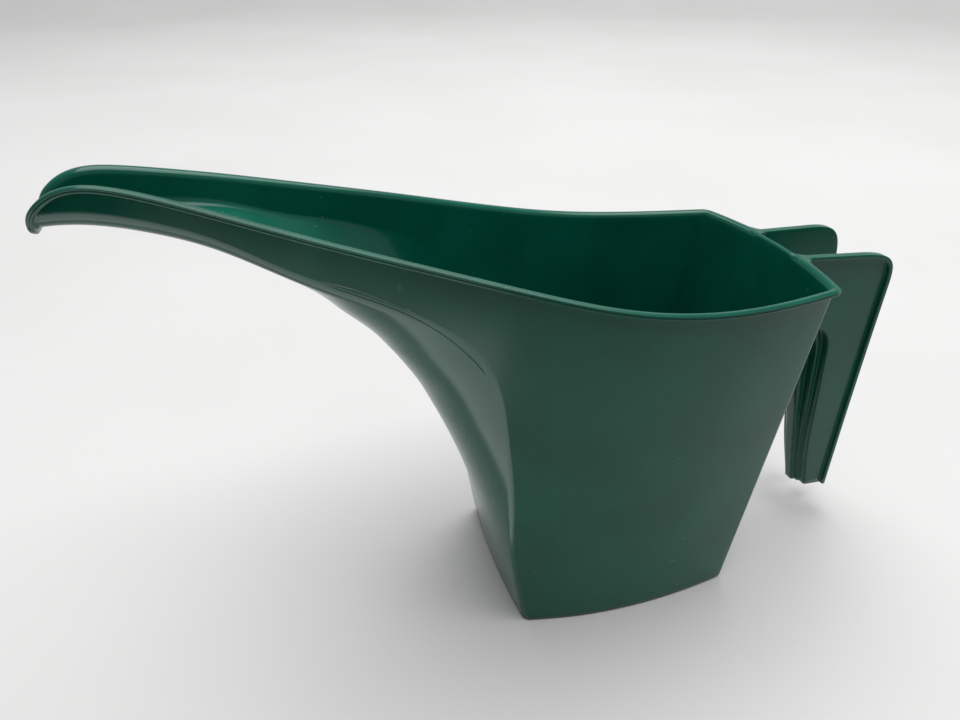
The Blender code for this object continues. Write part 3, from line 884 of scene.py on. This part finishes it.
def plastic_relief(n, at):
    """Slow waves of the moulded wall with a fine grain on them."""
    waves = n.add("ShaderNodeBump", inputs={"Strength": 0.10, "Distance": 0.00025,
                                            "Height": n.noise(at, 34.0, 1.0)})
    return n.add("ShaderNodeBump", inputs={"Strength": 0.12, "Distance": 0.00006,
                                           "Height": n.noise(at, 2600.0, 2.0),
                                           "Normal": waves.outputs["Normal"]})


def moulded_plastic(name, green, roughness, seam_lines=False):
    """Dark green polypropylene with faint mottling, slight wear, and brown dirt with painted contact shade
    along the foot.
    """
    n = Nodes(name)
    at = n.add("ShaderNodeTexCoord").outputs["Object"]
    cloud = n.noise(at, 26.0, 3.0)
    speck, scuff, soil_and_shade = dust_specks(n, at), hairline_scuffs(n, at), foot_soil_and_shade(n, at)

    deep = tuple(c * 0.88 for c in green) + (1,)
    light = tuple(c * 1.14 for c in green) + (1,)
    colour = n.mix(n.ramp(cloud, 0.3, 0.7), deep, light)
    colour = n.mix(n.math("MULTIPLY", speck, 0.30), colour, PALE_DUST)
    colour = n.mix(n.math("MULTIPLY", scuff, 0.10), colour, SCUFFED)
    # Painted contact shade along the foot's lowest edge, in the brown of dirt.
    colour = n.mix(n.math("MULTIPLY", soil_and_shade, 0.75), colour, BROWN_SOIL_AND_SHADE)
    n.feed(n.bsdf, "Base Color", colour)

    rough = n.math("ADD", n.ramp(cloud, 0.25, 0.75, roughness - 0.03, roughness + 0.04),
                   n.math("MULTIPLY", scuff, 0.12))
    n.feed(n.bsdf, "Roughness", n.math("ADD", rough, n.math("MULTIPLY", n.math("ADD", speck, soil_and_shade), 0.2)))
    n.bsdf.inputs["IOR"].default_value = 1.49
    n.bsdf.inputs["Specular IOR Level"].default_value = 0.32
    n.bsdf.inputs["Metallic"].default_value = 0.0

    bump = plastic_relief(n, at)
    if seam_lines:
        bump = seam_bump(n, bump)
    n.feed(n.bsdf, "Normal", bump.outputs["Normal"])
    return n.material


def seam_bump(n, below):
    """Narrow sunk sliver between the two mould lines, from the distances that seam_marks() stored."""
    seam = n.add("ShaderNodeAttribute", attribute_name="seam").outputs["Vector"]
    parts = n.add("ShaderNodeSeparateXYZ", inputs={"Vector": seam})
    inside = n.math("MULTIPLY", n.ramp(parts.outputs["X"], -0.2, 0.2), n.ramp(parts.outputs["Y"], -0.2, 0.2))
    height = n.math("MULTIPLY", inside, parts.outputs["Z"])
    return n.add("ShaderNodeBump", invert=True, inputs={"Strength": 1.0, "Distance": SEAM_DEPTH * MM,
                                                        "Height": height, "Normal": below.outputs["Normal"]})


# ---------------------------------------------------------------- the can
body = build_body(moulded_plastic("body_plastic", (0.0011, 0.086, 0.054), 0.19, seam_lines=True))
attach(body, "root")
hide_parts("spout_trough", "tank_front_wall", "tank_side_wall_left", "tank_side_wall_right",
            "tank_rear_wall", "tank_floor", "rim_band")

handle = build_handle(moulded_plastic("handle_plastic", (0.0011, 0.084, 0.053), 0.22))
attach(handle, "root")
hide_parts("handle_plate_left", "handle_plate_right", "handle_edge_left", "handle_edge_right",
            "handle_nose_web")


# ---------------------------------------------------------------- studio
def studio():
    """Pale floor that turns up into a surrounding wall, like the inside of a light tent."""
    flat, turn, tall, around = 2.6, 1.3, 2.2, 96
    bend = np.linspace(0, math.pi / 2, 14)[1:]
    profile = [(0.0, 0.0), (flat, 0.0)]
    profile += [(flat + turn * math.sin(a), turn - turn * math.cos(a)) for a in bend]
    profile.append((flat + turn, tall))
    circle = np.linspace(0, 2 * math.pi, around + 1)[:-1]
    verts, faces = [(0, 0, 0)], []
    for r, z in profile[1:]:
        verts += [(r * math.cos(t), r * math.sin(t), z) for t in circle]
    for i in range(around):
        j = (i + 1) % around
        faces.append((0, 1 + i, 1 + j))
        for k in range(len(profile) - 2):
            a, b = 1 + k * around, 1 + (k + 1) * around
            faces.append((a + i, b + i, b + j, a + j))
    mesh = bpy.data.meshes.new("studio")
    mesh.from_pydata(verts, [], faces)
    mesh.shade_smooth()
    obj = bpy.data.objects.new("studio", mesh)
    bpy.context.scene.collection.objects.link(obj)
    n = Nodes("studio_paper")
    at = n.add("ShaderNodeTexCoord").outputs["Object"]
    tone = n.ramp(n.noise(at, 3.0, 2.0), 0.2, 0.8)
    n.feed(n.bsdf, "Base Color", n.mix(tone, (0.545, 0.542, 0.537, 1), (0.575, 0.572, 0.568, 1)))
    n.bsdf.inputs["Roughness"].default_value = 0.6
    mesh.materials.append(n.material)


def card(name, middle, size, turn):
    """Black flag that darkens what the front of the can reflects; the camera does not see it."""
    mesh = bpy.data.meshes.new(name)
    w, h = size[0] / 2, size[1] / 2
    mesh.from_pydata([(-w, -h, 0), (w, -h, 0), (w, h, 0), (-w, h, 0)], [], [(0, 1, 2, 3)])
    obj = bpy.data.objects.new(name, mesh)
    obj.location = middle
    obj.rotation_euler = turn
    obj.visible_camera = False
    bpy.context.scene.collection.objects.link(obj)
    n = Nodes(name + "_cloth")
    at = n.add("ShaderNodeTexCoord").outputs["Object"]
    cloth = n.mix(n.noise(at, 40.0), (0.008, 0.008, 0.008, 1), (0.012, 0.012, 0.012, 1))
    n.feed(n.bsdf, "Base Color", cloth)
    n.bsdf.inputs["Roughness"].default_value = 0.9
    n.bsdf.inputs["Specular IOR Level"].default_value = 0.0
    mesh.materials.append(n.material)


def soft_light(name, spot, target, size, power):
    """Rectangular area light at `spot` that shines toward `target`."""
    light = bpy.data.lights.new(name, "AREA")
    light.shape = "RECTANGLE"
    light.size, light.size_y = size
    light.energy = power
    obj = bpy.data.objects.new(name, light)
    obj.location = spot
    obj.rotation_euler = (Vector(target) - Vector(spot)).to_track_quat("-Z", "Y").to_euler()
    bpy.context.scene.collection.objects.link(obj)
    return obj


studio()
card("front_flag", middle=(0.0, -0.36, 0.11), size=(1.4, 0.21), turn=(math.pi / 2, 0, 0))
soft_light("top_light", spot=(0.45, 0.45, 2.7), target=(0.45, 0.45, 0), size=(2.9, 3.4), power=138.0)
glow = soft_light("left_reflector", spot=(-0.24, -0.15, 0.002), target=(-0.24, -0.15, 1),
                  size=(0.36, 0.24), power=0.50)
glow.visible_camera = False
glow.visible_diffuse = False

world = bpy.data.worlds.new("soft_room")
world.use_nodes = True
world.node_tree.nodes["Background"].inputs["Color"].default_value = (0.97, 0.98, 1.0, 1)
world.node_tree.nodes["Background"].inputs["Strength"].default_value = 0.30
bpy.context.scene.world = world
bpy.context.scene.view_settings.view_transform = "Standard"

# ---------------------------------------------------------------- camera
# A least-squares fit to marks on the photo gave the place and the angles.
CAMERA_AT = (-207.01, -250.36, 122.38)      # millimetres from the middle of the rear rim
YAW, PITCH, ROLL = 16.86, 31.38, 0.22       # degrees: turned from +Y, down, and tilted
FOCAL = 27.06                               # millimetres on a 36 mm wide sensor

camera = bpy.data.objects.new("camera", bpy.data.cameras.new("camera"))
camera.data.lens = FOCAL
camera.data.sensor_width = 36.0
camera.data.clip_start = 0.01
yaw, pitch, roll = (math.radians(a) for a in (YAW, PITCH, ROLL))
ahead = Vector((math.sin(yaw), math.cos(yaw), 0))
right = Vector((math.cos(yaw), -math.sin(yaw), 0))
up = Vector((0, 0, 1))
view = ahead * math.cos(pitch) - up * math.sin(pitch)
top = ahead * math.sin(pitch) + up * math.cos(pitch)
axes = (right * math.cos(roll) + top * math.sin(roll), top * math.cos(roll) - right * math.sin(roll), -view)
turn = Matrix(axes).transposed().to_4x4()
turn.translation = place([CAMERA_AT])[0]
camera.matrix_world = turn
bpy.context.scene.collection.objects.link(camera)
bpy.context.scene.camera = camera
